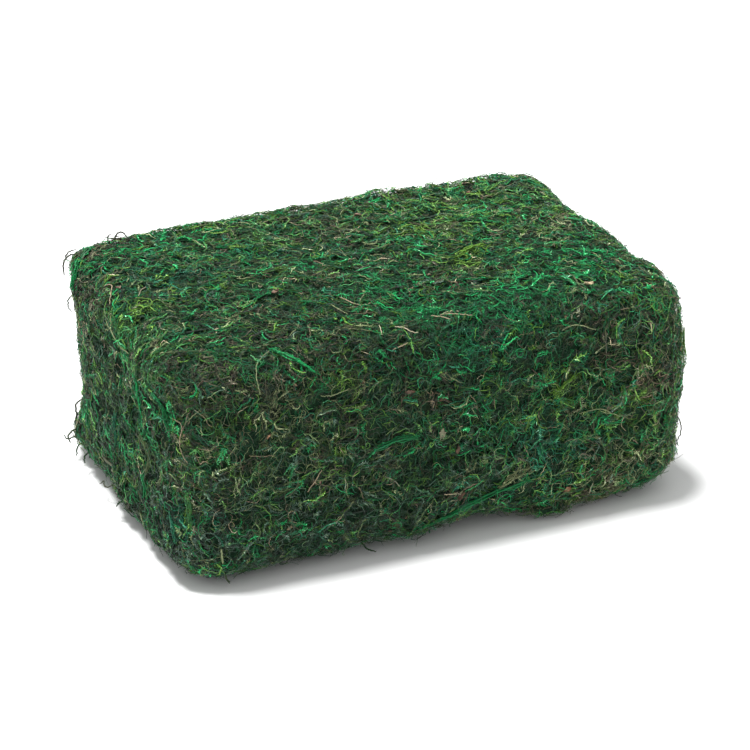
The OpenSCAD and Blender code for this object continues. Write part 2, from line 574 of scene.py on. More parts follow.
def add_fronds(heap, paths, normals, width, dye, shade, rng, leaves, first_strand=0):
    """Adds stems with slanting leaflets on both sides; LEAVES is FEATHER or ROPE."""
    add_tubes(heap, paths, normals, width, dye, shade, first_strand)
    count, rings, _ = paths.shape
    tangent = unit(np.gradient(paths, axis=1))
    for k in range(leaves["pairs"]):
        for side in (-1, 1):
            share = (k + rng.uniform(0.1, 0.9)) / leaves["pairs"]
            place = share * (rings - 1)
            low = int(place)
            part = place - low
            root = paths[:, low] * (1 - part) + paths[:, low + 1] * part
            normal = normals[:, low]
            direction = turned(tangent[:, low], normal, side * rng.uniform(*leaves["slant"], count))
            direction = unit(direction + normal * rng.uniform(-0.3, 0.5, count)[:, None])
            length = leaves["reach"] * MM * (1.2 - share) * rng.uniform(0.4, 1.4, count)
            leaf_shade = shade * np.exp(rng.normal(0.06, 0.48, count))
            add_leaflets(
                heap, root, direction, normal, length, width * rng.uniform(*leaves["breadth"], count),
                dye, leaf_shade, np.full(count, share), np.arange(count) + first_strand,
            )


def make_piece(name, heap, material):
    """One Blender mesh from a heap, riding on the brick."""
    points = np.concatenate(heap.points)
    quads = np.concatenate(heap.quads)
    triangles = np.concatenate(heap.triangles)
    mesh = bpy.data.meshes.new(name)
    mesh.vertices.add(len(points))
    mesh.vertices.foreach_set("co", points.astype(np.float32).ravel())
    corners = np.concatenate([quads.ravel(), triangles.ravel()]).astype(np.int32)
    mesh.loops.add(len(corners))
    mesh.loops.foreach_set("vertex_index", corners)
    quad_starts = np.arange(len(quads)) * 4
    triangle_starts = quads.size + np.arange(len(triangles)) * 3
    starts = np.concatenate([quad_starts, triangle_starts]).astype(np.int32)
    mesh.polygons.add(len(starts))
    mesh.polygons.foreach_set("loop_start", starts)
    mesh.polygons.foreach_set("use_smooth", np.ones(len(starts), bool))
    mesh.update(calc_edges=True)
    for label, values in (("dye", heap.dye), ("shade", heap.shade)):
        layer = mesh.attributes.new(label, "FLOAT", "POINT")
        layer.data.foreach_set("value", np.concatenate(values).astype(np.float32))
    lay_map(mesh, heap, corners)
    mesh.materials.append(material)
    piece = bpy.data.objects.new(name, mesh)
    bpy.context.scene.collection.objects.link(piece)
    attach(piece, "root")
    return piece


def lay_map(mesh, heap, corners):
    """Gives every strand its own small square of the piece's texture map."""
    strand = np.concatenate(heap.strand)
    _, order = np.unique(strand, return_inverse=True)
    along = np.concatenate(heap.along)
    rows = math.ceil(math.sqrt(order.max() + 1))
    turn = (np.arange(len(order)) % 3) / 2
    u = (order % rows + 0.2 + 0.6 * along) / rows
    v = (order // rows + 0.2 + 0.6 * turn) / rows
    layer = mesh.uv_layers.new(name="OFBake")
    uv = np.stack([u, v], axis=-1)[corners]
    layer.data.foreach_set("uv", uv.astype(np.float32).ravel())


# ---- materials ----

# The dye scale, from the greenest to the palest strands: place and colour as shown on screen
DYES = {
    "emerald": (0.00, (16, 138, 74)),
    "green": (0.14, (26, 118, 64)),
    "teal": (0.24, (32, 100, 76)),
    "leaf": (0.34, (58, 116, 60)),
    "lime": (0.46, (100, 140, 56)),
    "dark": (0.54, (35, 74, 48)),
    "slate": (0.60, (64, 84, 74)),
    "olive": (0.66, (76, 98, 58)),
    "straw": (0.76, (134, 144, 104)),
    "umber": (0.82, (70, 72, 57)),
    "brown": (0.90, (102, 88, 72)),
    "tan": (0.96, (180, 164, 134)),
    "pale": (1.00, (206, 198, 168)),
}

# How often each dye comes in the moss
DYE_SHARES = {
    "emerald": 0.09, "green": 0.15, "teal": 0.09, "leaf": 0.17, "lime": 0.07, "dark": 0.14,
    "slate": 0.03, "olive": 0.10, "straw": 0.09, "umber": 0.06, "brown": 0.025, "tan": 0.012,
}


def linear(colour):
    """A colour of 0 to 255 as the shader's own red, green, blue and alpha."""
    parts = []
    for value in colour:
        share = value / 255
        parts.append(share / 12.92 if share <= 0.04045 else ((share + 0.055) / 1.055) ** 2.4)
    return (*parts, 1.0)


class Nodes:
    """A material's node tree with short calls for the nodes that this scene uses."""

    def __init__(self, name, roughness, specular):
        self.material = bpy.data.materials.new(name)
        self.material.use_nodes = True
        self.tree = self.material.node_tree
        self.shader = self.tree.nodes["Principled BSDF"]
        self.shader.inputs["Roughness"].default_value = roughness
        self.shader.inputs["Specular IOR Level"].default_value = specular
        self.place = self.tree.nodes.new("ShaderNodeTexCoord").outputs["Object"]

    def link(self, source, target):
        """Joins two sockets."""
        self.tree.links.new(source, target)

    def noise(self, scale, detail=2.0):
        """Noise with SCALE blobs to the metre."""
        node = self.tree.nodes.new("ShaderNodeTexNoise")
        node.inputs["Scale"].default_value = scale
        node.inputs["Detail"].default_value = detail
        self.link(self.place, node.inputs["Vector"])
        return node.outputs["Fac"]

    def attribute(self, name):
        """A number that the mesh holds at each vertex."""
        node = self.tree.nodes.new("ShaderNodeAttribute")
        node.attribute_name = name
        return node.outputs["Fac"]

    def maths(self, operation, a, b):
        """A sum or product of two sockets or numbers."""
        node = self.tree.nodes.new("ShaderNodeMath")
        node.operation = operation
        for socket, value in zip(node.inputs, (a, b)):
            if isinstance(value, (int, float)):
                socket.default_value = value
            else:
                self.link(value, socket)
        return node.outputs[0]

    def remap(self, source, low, high):
        """SOURCE from 0.3 to 0.7, which noise mostly fills, spread from LOW to HIGH."""
        node = self.tree.nodes.new("ShaderNodeMapRange")
        node.inputs["From Min"].default_value = 0.3
        node.inputs["From Max"].default_value = 0.7
        node.inputs["To Min"].default_value = low
        node.inputs["To Max"].default_value = high
        self.link(source, node.inputs["Value"])
        return node.outputs["Result"]

    def ramp(self, source, stops):
        """A colour by SOURCE, from stops of a place and a colour."""
        node = self.tree.nodes.new("ShaderNodeValToRGB")
        elements = node.color_ramp.elements
        while len(elements) < len(stops):
            elements.new(0.5)
        for element, (place, colour) in zip(elements, stops):
            element.position = place
            element.color = linear(colour)
        self.link(source, node.inputs["Fac"])
        return node.outputs["Color"]

    def scaled(self, colour, factor, saturation=1.0, painted_highlight_paling=0.0):
        """COLOUR times FACTOR in brightness, and times SATURATION in strength.

        The last argument is how much of that strength a colour loses for each 1 that its factor is over
        1, or gains for each 1 under: bright colours are painted paler, as painted highlights.
        """
        node = self.tree.nodes.new("ShaderNodeHueSaturation")
        self.link(colour, node.inputs["Color"])
        self.link(factor, node.inputs["Value"])
        loss = self.maths("MULTIPLY", self.maths("SUBTRACT", factor, 1.0), painted_highlight_paling)
        self.link(self.maths("SUBTRACT", saturation, loss), node.inputs["Saturation"])
        return node.outputs["Color"]

    def bump(self, height, strength, depth):
        """Roughens the surface by HEIGHT."""
        node = self.tree.nodes.new("ShaderNodeBump")
        node.inputs["Strength"].default_value = strength
        node.inputs["Distance"].default_value = depth
        self.link(height, node.inputs["Height"])
        self.link(node.outputs["Normal"], self.shader.inputs["Normal"])

    def finish(self, colour, rough):
        """The finished material."""
        self.link(colour, self.shader.inputs["Base Color"])
        self.link(rough, self.shader.inputs["Roughness"])
        return self.material


def strand_material():
    """Dyed dry moss: colour by each strand's dye and shade, mottled along its length. The shade carries
    painted light and shade, a fine grain adds painted glints, and bright strands are painted paler as
    highlights.
    """
    nodes = Nodes("moss_strand", 0.5, 0.42)
    mottle = nodes.noise(260, 3)
    dye = nodes.maths("ADD", nodes.attribute("dye"), nodes.remap(mottle, -0.05, 0.05))
    grain_and_glints = nodes.noise(2100, 2)
    # Painted glints: the fine grain lightens and darkens each strand's shade in small spots, as crinkles
    # catching the light would
    shade = nodes.maths("MULTIPLY", nodes.attribute("shade"), nodes.remap(grain_and_glints, 0.3, 1.7))
    nodes.bump(grain_and_glints, 0.4, 0.15 * MM)
    # Painted highlight: strands with a shade over 1 are painted paler
    colour = nodes.scaled(nodes.ramp(dye, DYES.values()), shade, 1.1, 0.08)
    return nodes.finish(colour, nodes.remap(grain_and_glints, 0.38, 0.62))


def mat_material():
    """The pressed moss under the strands, dark partly in its own colour and partly as painted shade in
    the gaps between the strands.
    """
    nodes = Nodes("moss_mat", 0.9, 0.1)
    clumps = nodes.noise(220, 4)
    fibres = nodes.noise(1300, 3)
    stops = [(0.3, (20, 40, 27)), (0.5, (29, 56, 38)), (0.62, (40, 55, 38)), (0.75, (50, 48, 38))]
    colour = nodes.scaled(nodes.ramp(clumps, stops), nodes.remap(fibres, 0.4, 1.6))
    nodes.bump(fibres, 0.9, 0.8 * MM)
    return nodes.finish(colour, nodes.remap(fibres, 0.8, 1.0))


def foam_material():
    """Floral foam: dull green, with fine open cells."""
    nodes = Nodes("floral_foam", 0.9, 0.15)
    cells = nodes.noise(2400, 2)
    cloud = nodes.noise(30, 3)
    stops = [(0.3, (48, 92, 50)), (0.5, (60, 108, 58)), (0.7, (74, 120, 66))]
    nodes.bump(cells, 0.6, 0.3 * MM)
    colour = nodes.scaled(nodes.ramp(cloud, stops), nodes.remap(cells, 0.8, 1.1))
    return nodes.finish(colour, nodes.remap(cells, 0.8, 1.0))


def wire_material():
    """Dark green lacquered wire with faint wear."""
    nodes = Nodes("pin_wire", 0.45, 0.5)
    wear = nodes.noise(700, 3)
    stops = [(0.35, (26, 40, 30)), (0.6, (36, 52, 40)), (0.72, (74, 78, 72))]
    nodes.shader.inputs["Metallic"].default_value = 0.6
    nodes.bump(wear, 0.2, 0.05 * MM)
    return nodes.finish(nodes.ramp(wear, stops), nodes.remap(wear, 0.35, 0.6))


STRAND = strand_material()
MAT = mat_material()


# ---- the foam, and the mats of packed moss behind the strands ----

VOXEL = 2.6 * MM
# How far the mats lie under the lumpy surface, and the foam, which has to be under the mats
MAT_UNDER = 2.7 * MM
FOAM_UNDER = 3.2 * MM

SLOTS = {row["node"]: row["material_slot"] for row in frame["record"]["subparts"]}
MATS = [node for node in SLOTS if "moss" in node or "tuft" in node]


def cad_object(node):
    """The Blender object of a CAD node."""
    for candidate in bpy.data.objects:
        if candidate.get("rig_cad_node") == node:
            return candidate
    raise KeyError(node)


def pressed(p, under):
    """Points moved inwards to lie UNDER the lumpy surface; the deeper ones stay the deeper."""
    depth = distance(p)
    own_lumps = 0.8 * MM * noise(p, 5, 9)
    limit = lumps(p) - under + own_lumps + 0.35 * depth
    return p + normal_at(p) * np.minimum(limit - depth, 0)[:, None]


def pressed_copy(node, name, material, under):
    """A closed copy of a CAD node, remeshed finely and pressed under the lumpy surface."""
    piece = bpy.data.objects.new(name, cad_object(node).data.copy())
    bpy.context.scene.collection.objects.link(piece)
    remesh = piece.modifiers.new("remesh", "REMESH")
    remesh.mode = "VOXEL"
    remesh.voxel_size = VOXEL
    shape = piece.evaluated_get(bpy.context.evaluated_depsgraph_get())
    mesh = bpy.data.meshes.new_from_object(shape)
    piece.modifiers.clear()
    piece.data = mesh
    p = np.zeros(len(mesh.vertices) * 3, np.float32)
    mesh.vertices.foreach_get("co", p)
    p = pressed(p.reshape(-1, 3).astype(float), under)
    mesh.vertices.foreach_set("co", floor_stop(p).astype(np.float32).ravel())
    mesh.polygons.foreach_set("use_smooth", np.ones(len(mesh.polygons), bool))
    mesh.update()
    mesh.materials.clear()
    mesh.materials.append(material)
    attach(piece, "root")
    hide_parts(node)
    return piece


def owner(p):
    """The index in MATS of the mat that each point belongs to: the one whose box it is deepest in."""
    depth = []
    for node in MATS:
        low, high = (np.array(corner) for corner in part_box(node))
        depth.append(np.minimum(p - low, high - p).min(axis=-1))
    return np.argmax(np.stack(depth), axis=0)


# ---- strands ----

# Share of the strands whose dye is not their tuft's
STRAY_DYES = 0.6
BASE_SHADE = 0.76
# How far headings stray from the combing, in radians
HEADING_SPREAD = 1.3
# The most triangles in one piece. The piece exporter takes up to 200,000
TRIANGLES_PER_PIECE = 190000
# How thickly each side, given as axis and direction, is covered
FACES = {(2, 1): 1.35, (1, -1): 1.35, (0, -1): 1.3, (0, 1): 1.05, (1, 1): 1.05, (2, -1): 0.3}
LEAFY = FACES | {(2, 1): 1.5, (1, -1): 1.1, (0, -1): 1.5}
HAIRY = FACES | {(2, 1): 0.5, (1, -1): 2.4, (0, -1): 0.6}


def dyes_at(p, rng):
    """A dye for each point: clumps of like colour, the patches and tufts, and chance."""
    count = len(p)
    places = [DYES[name][0] for name in DYE_SHARES]
    shares = np.array(list(DYE_SHARES.values()))
    dye = rng.choice(places, size=count, p=shares / shares.sum())
    clump = 0.16 * noise(p, 30, 6) + 0.12 * noise(p, 11, 7)
    shifted = dye + clump + bump_sum(p, PATCHES) + rng.normal(0, 0.04, count)
    dye = np.where(dye > 0.88, dye, np.clip(shifted, 0, 0.86))
    for centre, radius, share, name in TINTS:
        chance = bump_sum(p, [(centre, radius, share)])
        dye = np.where(rng.random(count) < chance, DYES[name][0], dye)
    return dye


def shades_at(starts, height, tuft, rng):
    """Shades from 0.1 to 2.2: painted shade darkens strands low in the layer, where HEIGHT is 0, the
    painted light and shade patches lighten or darken them, and chance varies them.
    """
    # Painted shade: strands low in the layer are darker, standing in for the shadow among the strands
    shade = BASE_SHADE * (0.16 + 1.4 * height**1.3)
    by_tuft = rng.normal(0, 0.06, tuft.max() + 1)[tuft]
    shade *= np.exp(by_tuft + rng.normal(-0.04, 0.68, len(tuft)))
    # Painted light and shade: the patches lighten or darken the strands
    shade *= 1 + bump_sum(starts, PAINTED_LIGHT_AND_TONE)
    return np.clip(shade, 0.1, 2.2)


def grow(tufts, each, seed, steps, length, width, depth, gap, fan, curl, wander, wave,
         rise=(-1.5, 1.6), together=False, shares=FACES):
    """Strands in small tufts of EACH: their starts, paths, normals, widths, dyes and shades.

    LENGTH, WIDTH and DEPTH are (low, high) in millimetres, and RISE is mean and
    spread. GAP is the millimetres between the strands of a tuft, and FAN the
    radians that they spread apart by. TOGETHER makes a tuft's strands turn as one.
    """
    rng = np.random.default_rng(seed)
    roots = scatter(tufts, rng, shares)
    tuft = np.repeat(np.arange(tufts), each)
    normals = normal_at(roots)
    headings = combed(roots, normals, rng, HEADING_SPREAD)[tuft]
    normals = normals[tuft]
    count = len(tuft)
    side = rng.normal(0, 1, count)
    starts = roots[tuft] + np.cross(normals, headings) * (side * gap * MM)[:, None]
    starts = starts + headings * (rng.normal(0, 1.5 * gap, count) * MM)[:, None]
    headings = turned(headings, normals, fan * side + rng.normal(0, 0.5 * fan, count))
    levels = 0.25 * rng.uniform(*depth, tufts)[tuft] + 0.75 * rng.uniform(*depth, count)
    height = np.clip((levels - depth[0]) / (depth[1] - depth[0]), 0, 1)
    shade = shades_at(starts, height, tuft, rng)
    paths, normals = lay(
        starts, headings, rng.uniform(*length, count) * MM, rng, steps,
        curl=rng.normal(0, curl, tufts)[tuft] if together else rng.normal(0, curl, count),
        wander=wander,
        depth=levels * MM,
        wave=rng.uniform(0, wave, count) * MM,
        rise=np.maximum(rng.normal(*rise, count), 0) * MM,
        bundle=tuft if together else None,
    )
    stray = rng.random(count) < STRAY_DYES
    dye = np.where(stray, dyes_at(starts, rng), dyes_at(roots, rng)[tuft])
    widths = rng.uniform(*width, count) * MM
    return starts, paths, normals, widths, dye, shade


def pieces_of(kind, starts, add):
    """Splits strands by mat, and each mat's into pieces within the triangle limit."""
    owners = owner(starts)
    for index, node in enumerate(MATS):
        mine = np.flatnonzero(owners == index)
        if not len(mine):
            continue
        heap = Heap()
        add(heap, mine[:1])
        each = heap.triangle_count()
        parts = math.ceil(len(mine) * each / TRIANGLES_PER_PIECE)
        for part, chosen in enumerate(np.array_split(mine, parts)):
            heap = Heap()
            add(heap, chosen)
            make_piece(f"{node}_{kind}_{part + 1}", heap, STRAND)


def thread_layer(kind, **settings):
    """A layer of plain strands."""
    starts, paths, normals, widths, dye, shade = grow(**settings)

    def add(heap, chosen):
        add_tubes(heap, paths[chosen], normals[chosen], widths[chosen], dye[chosen], shade[chosen])

    pieces_of(kind, starts, add)


def frond_layer(kind, leaves, **settings):
    """A layer of strands with leaflets."""
    starts, paths, normals, widths, dye, shade = grow(**settings)
    dye = np.minimum(dye, DYES["umber"][0])

    def add(heap, chosen):
        add_fronds(heap, paths[chosen], normals[chosen], widths[chosen], dye[chosen],
                   shade[chosen], np.random.default_rng(SEED + len(chosen)), leaves)

    pieces_of(kind, starts, add)


# ---- locks laid along given lines ----

# Locks of ropy moss: a line of points, number of ropes, spread in millimetres, and dye
LOCKS = [
    ([(-14, -103, 14), (2, -104, 17), (14, -104, 20), (26, -104, 22), (32, -104, 25),
      (41, -104, 28), (50, -104, 30)], 8, 1.6, "emerald"),
    ([(-144, 75, 123), (-146, 70, 119), (-149, 66, 110)], 7, 2.0, "emerald"),
    ([(-134, 80, 128), (-140, 76, 126), (-145, 72, 121)], 7, 1.6, "green"),
    ([(-152, -38, 104), (-152, -45, 95), (-152, -51, 84)], 7, 2.0, "emerald"),
    ([(-149, -72, 108), (-149, -80, 100), (-149, -82, 90)], 7, 2.0, "green"),
    ([(-152, -4, 66), (-152, -5, 58), (-152, -6, 48)], 6, 1.6, "teal"),
    ([(-152, 45, 52), (-152, 45, 44), (-152, 47, 34)], 6, 2.0, "green"),
    ([(-152, -51, 52), (-152, -49, 44), (-152, -48, 36)], 6, 1.6, "emerald"),
    ([(-152, -44, 72), (-152, -54, 70), (-152, -58, 60), (-151, -52, 50)], 7, 1.8, "olive"),
    ([(-143, -94, 60), (-143, -94, 48), (-142, -95, 38)], 8, 2.6, "leaf"),
    ([(-150, -82, 42), (-149, -85, 34), (-148, -87, 27)], 6, 1.8, "teal"),
    ([(-92, -86, 129), (-83, -95, 124), (-72, -101, 117)], 6, 1.2, "emerald"),
    ([(32, -104, 28), (40, -104, 35), (50, -104, 38)], 6, 1.5, "straw"),
    ([(64, -104, 78), (69, -104, 84), (76, -104, 88)], 7, 1.8, "lime"),
    ([(150, -88, 96), (151, -89, 86), (150, -89, 76)], 8, 1.8, "lime"),
    ([(-45, -104, 66), (-30, -104, 72), (-16, -104, 70)], 6, 1.6, "green"),
    ([(48, -14, 129), (56, -8, 129), (66, -8, 129)], 7, 2.0, "lime"),
]


def make_locks():
    """The listed locks, in one piece."""
    rng = np.random.default_rng(SEED + 10)
    heap = Heap()
    rings = 8
    for k, (points, ropes, spread, name) in enumerate(LOCKS):
        line = settle(along_line(points, rings) * MM, 0)
        away = unit(rng.normal(0, 1, (ropes, 1, 3))) * rng.uniform(0, spread, (ropes, 1, 1)) * MM
        wobble = rng.normal(0, 0.8, (ropes, rings, 3)) * MM
        paths = settle(line[None] + away + wobble, 0)
        normals = normal_at(paths)
        paths = floor_stop(paths + normals * (rng.uniform(0.4, 2.2, (ropes, 1, 1)) * MM))
        shade = BASE_SHADE * rng.uniform(0.7, 1.4, ropes)
        add_fronds(heap, paths, normals, rng.uniform(0.55, 0.85, ropes) * MM,
                   np.full(ropes, DYES[name][0]), shade, rng, ROPE, 100 * k)
    make_piece("laid_locks", heap, STRAND)


# ---- twigs and leaf flakes ----

# Twigs and stray stems, listed one by one: their points in millimetres, width, and dye
TWIGS = [
    ([(1, -81, 129), (8, -90, 127)], 0.675, "tan"),
    ([(5, -84, 129), (21, -89, 128)], 0.6, "tan"),
    ([(-35, -42, 129), (-29, -55, 129)], 0.6, "tan"),
    ([(-28, -98, 121), (-19, -97, 123)], 0.6, "tan"),
    ([(-22, -86, 128), (-19, -88, 128), (-16, -92, 127), (-12, -94, 126)], 0.6, "pale"),
    ([(-29, -81, 129), (-31, -90, 127)], 0.45, "pale"),
    ([(-150, -83, 98), (-148, -87, 98), (-145, -93, 97), (-146, -90, 89), (-146, -91, 80),
      (-143, -94, 76)], 0.525, "tan"),
    ([(-145, -93, 97), (-137, -99, 107)], 0.525, "straw"),
    ([(-79, -104, 49), (-75, -104, 57), (-72, -104, 62)], 0.6, "tan"),
    ([(-66, -104, 27), (-61, -104, 31)], 0.675, "tan"),
    ([(-72, -104, 105), (-64, -104, 104), (-56, -104, 106)], 0.525, "straw"),
    ([(68, -102, 115), (74, -101, 117), (80, -102, 116), (88, -103, 112)], 0.6, "straw"),
    ([(52, -104, 73), (48, -104, 67), (47, -104, 60)], 0.6, "lime"),
    ([(52, -104, 71), (54, -104, 62), (59, -104, 60)], 0.6, "lime"),
    ([(79, -104, 64), (93, -104, 65), (97, -104, 61), (103, -104, 58)], 0.6, "straw"),
    ([(-144, -61, 123), (-136, -70, 128), (-120, -78, 129)], 0.6, "olive"),
    ([(-150, 11, 115), (-152, -5, 109), (-152, -24, 110)], 0.6, "straw"),
    ([(-93, -86, 129), (-103, -93, 126), (-106, -100, 119), (-105, -104, 112)], 0.6, "straw"),
    ([(96, -104, 86), (104, -104, 92), (112, -104, 88)], 0.525, "brown"),
    ([(115, -104, 88), (120, -104, 78), (125, -104, 72), (131, -102, 74), (134, -101, 80)],
     0.6, "brown"),
    ([(120, -104, 111), (121, -104, 106)], 0.75, "tan"),
    ([(145, -50, 125), (145, -62, 124), (144, -72, 122)], 0.9, "brown"),
    ([(-152, 29, 25), (-152, 13, 27), (-152, -2, 29)], 1.65, "umber"),
    ([(-129, -103, 27), (-128, -102, 18)], 1.2, "straw"),
    ([(-134, 4, 128), (-127, -1, 129), (-130, -10, 129), (-137, -10, 127)], 0.675, "lime"),
    ([(-146, 14, 122), (-139, 28, 127), (-143, 34, 125)], 0.6, "tan"),
]

# Stray ends that stand clear of the brick: their points in millimetres, width, and dye
WISPS = [
    ([(-140, 86, 122), (-145, 89, 121), (-148, 88, 119), (-149, 86, 114), (-149, 85, 111)],
     1.12, "umber"),
    ([(-140, 88, 124), (-144, 90, 123), (-147, 89, 120), (-145, 88, 118)], 0.84, "umber"),
    ([(-118, 89, 123), (-117, 90, 127), (-113, 91, 130), (-111, 90, 128), (-109, 89, 125)],
     0.98, "umber"),
    ([(-121, 89, 124), (-121, 90, 128), (-119, 90, 129)], 0.84, "umber"),
    ([(-144, 80, 102), (-149, 81, 98), (-149, 81, 93), (-147, 81, 90)], 0.84, "dark"),
    ([(-143, 80, 36), (-148, 81, 33), (-147, 80, 27), (-149, 80, 22)], 1.12, "umber"),
    ([(-146, 78, 20), (-151, 78, 18), (-155, 77, 15), (-153, 76, 12)], 1.12, "olive"),
    ([(-146, 76, 14), (-152, 76, 15), (-155, 77, 13), (-156, 78, 16)], 0.98, "olive"),
    ([(-148, 70, 14), (-152, 68, 12), (-153, 66, 8)], 0.98, "dark"),
    ([(-147, 60, 12), (-151, 58, 11), (-152, 55, 8)], 0.98, "dark"),
    ([(-147, 16, 12), (-151, 18, 10), (-152, 22, 9), (-150, 26, 11), (-152, 28, 8)], 0.84, "umber"),
    ([(-148, -6, 13), (-152, -5, 12), (-153, -3, 9)], 0.98, "dark"),
    ([(-127, -99, 13), (-126, -101, 8), (-124, -101, 4)], 1.12, "olive"),
    ([(-46, -94, 8), (-43, -96, 4), (-39, -98, 3)], 0.98, "dark"),
    ([(66, -94, 8), (69, -97, 5), (71, -98, 3)], 0.98, "teal"),
    ([(145, -86, 44), (150, -88, 40), (151, -88, 32), (148, -87, 24)], 0.84, "umber"),
]

# Leaf flakes, listed one by one: place in millimetres, length, and tint
FLAKES = [
    ((-65, -23, 129), 5.5, "pink"),
    ((-138, 22, 127), 5.5, "pink"),
    ((94, -81, 128), 7.0, "pale"),
    ((-21, -104, 97), 5.5, "rust"),
    ((-2, -104, 89), 6.0, "rust"),
    ((7, -104, 57), 5.5, "rust"),
    ((9, -104, 29), 6.0, "rust"),
    ((-101, -104, 87), 3.0, "peach"),
    ((72, -104, 20), 5.0, "peach"),
    ((-2, -104, 69), 7.5, "grey"),
    ((18, 60, 129), 5.0, "pink"),
]
FLAKE_COLOURS = {
    "pink": (0.0, (150, 122, 106)),
    "rust": (0.3, (84, 68, 54)),
    "peach": (0.5, (172, 132, 102)),
    "grey": (0.75, (134, 138, 112)),
    "pale": (1.0, (196, 176, 142)),
}
# How many more lie about by chance
LOOSE_TWIGS = 60
LOOSE_FLAKES = 50


def twig_material():
    """Dry bark: fine streaks over the strand dyes."""
    nodes = Nodes("dry_twig", 0.7, 0.3)
    streaks = nodes.noise(900, 4)
    dye = nodes.maths("ADD", nodes.attribute("dye"), nodes.remap(streaks, -0.02, 0.0))
    shade = nodes.maths("MULTIPLY", nodes.attribute("shade"), nodes.remap(streaks, 0.7, 1.15))
    nodes.bump(streaks, 0.6, 0.2 * MM)
    colour = nodes.scaled(nodes.ramp(dye, DYES.values()), shade)
    return nodes.finish(colour, nodes.remap(streaks, 0.6, 0.85))


def flake_material():
    """Dead leaf: veined and blotched."""
    nodes = Nodes("dry_leaf", 0.6, 0.35)
    blotch = nodes.noise(420, 4)
    tint = nodes.maths("ADD", nodes.attribute("dye"), nodes.remap(blotch, -0.06, 0.06))
    shade = nodes.maths("MULTIPLY", nodes.attribute("shade"), nodes.remap(blotch, 0.65, 1.15))
    nodes.bump(blotch, 0.5, 0.3 * MM)
    colour = nodes.scaled(nodes.ramp(tint, FLAKE_COLOURS.values()), shade)
    return nodes.finish(colour, nodes.remap(blotch, 0.5, 0.75))


def along_line(points, rings):
    """RINGS points spread along a line that bends smoothly by POINTS."""
    points = np.array(points, float)
    steps = np.linalg.norm(np.diff(points, axis=0), axis=1)
    place = np.concatenate([[0], np.cumsum(steps)])
    wanted = np.linspace(0, place[-1], rings)
    line = np.stack([np.interp(wanted, place, points[:, axis]) for axis in range(3)], axis=-1)
    for _ in range(rings // 4):
        line[1:-1] = (line[:-2] + line[2:]) / 2
    return line


def laid_lines(lines, rings):
    """The paths, widths and dyes of listed lines."""
    paths = np.stack([along_line(points, rings) * MM for points, _, _ in lines])
    widths = np.array([width for _, width, _ in lines]) * MM
    return paths, widths, np.array([DYES[name][0] for _, _, name in lines])


def make_twigs():
    """The listed twigs and wisps and the loose twigs, in one piece."""
    rng = np.random.default_rng(SEED + 11)
    heap = Heap()
    rings = 24
    sides = 5
    paths, widths, dye = laid_lines(TWIGS, rings)
    paths = settle(paths, 1.2 * MM) + rng.normal(0, 0.12 * MM, paths.shape)
    add_tubes(heap, paths, normal_at(paths), widths, dye, np.full(len(TWIGS), 0.9), 0, 0.6, sides)
    paths, widths, dye = laid_lines(WISPS, rings)
    paths = floor_stop(paths + rng.normal(0, 0.16 * MM, paths.shape))
    add_tubes(heap, paths, normal_at(paths), widths, dye, np.full(len(WISPS), 0.5), 100, 0.4, sides)
    starts = scatter(LOOSE_TWIGS, rng, FACES)
    normals = normal_at(starts)
    count = len(starts)
    paths, normals = lay(
        starts, combed(starts, normals, rng, 1.2),
        rng.uniform(5, 16, count) * MM, rng, 8, curl=rng.normal(0, 25, count), wander=50,
        depth=rng.uniform(0, 1.2, count) * MM, wave=0.1 * MM, rise=np.zeros(count),
    )
    dye = rng.choice([DYES[name][0] for name in ("tan", "brown", "pale", "straw")], count)
    add_tubes(heap, paths, normals, rng.uniform(0.35, 0.6, count) * MM, dye,
              rng.uniform(0.5, 0.9, count), 200, 0.6, sides)
    make_piece("dry_twigs", heap, twig_material())


def add_flake(heap, centre, normal, along, length, tint, shade, rng, strand):
    """Adds one closed, curled and ragged leaf flake, 0.24 mm thick."""
    columns, rows = 7, 5
    u, v = np.meshgrid(np.linspace(-1, 1, columns), np.linspace(-1, 1, rows), indexing="ij")
    ragged = 1 + rng.uniform(-0.3, 0.3, u.shape)
    x = 0.5 * length * u * (1 - 0.2 * v**2) * ragged
    y = 0.22 * length * v * (1 - 0.75 * u**2) * ragged
    z = length * (rng.uniform(0.05, 0.3) * v**2 + rng.uniform(-0.1, 0.15) * u**2)
    z = z + rng.normal(0, 0.05, u.shape) * length
    across = np.cross(normal, along)
    sheet = centre + x[..., None] * along + y[..., None] * across + z[..., None] * normal
    sheet = sheet.reshape(-1, 3)
    half = 0.12 * MM * normal
    points = np.concatenate([sheet + half, sheet - half])
    index = np.arange(columns * rows).reshape(columns, rows)
    top = np.stack([index[:-1, :-1], index[1:, :-1], index[1:, 1:], index[:-1, 1:]], -1).reshape(-1, 4)
    rim = np.concatenate([index[:, 0], index[-1, 1:], index[-2::-1, -1], index[0, -2:0:-1]])
    after = np.roll(rim, -1)
    under = columns * rows
    walls = np.stack([rim + under, after + under, after, rim], axis=-1)
    heap.add(
        floor_stop(points),
        np.concatenate([top, top[:, ::-1] + under, walls]),
        np.zeros((0, 3), int),
        np.full(len(points), tint),
        np.full(len(points), shade),
        np.tile((u.ravel() + 1) / 2, 2),
        np.full(len(points), strand),
    )


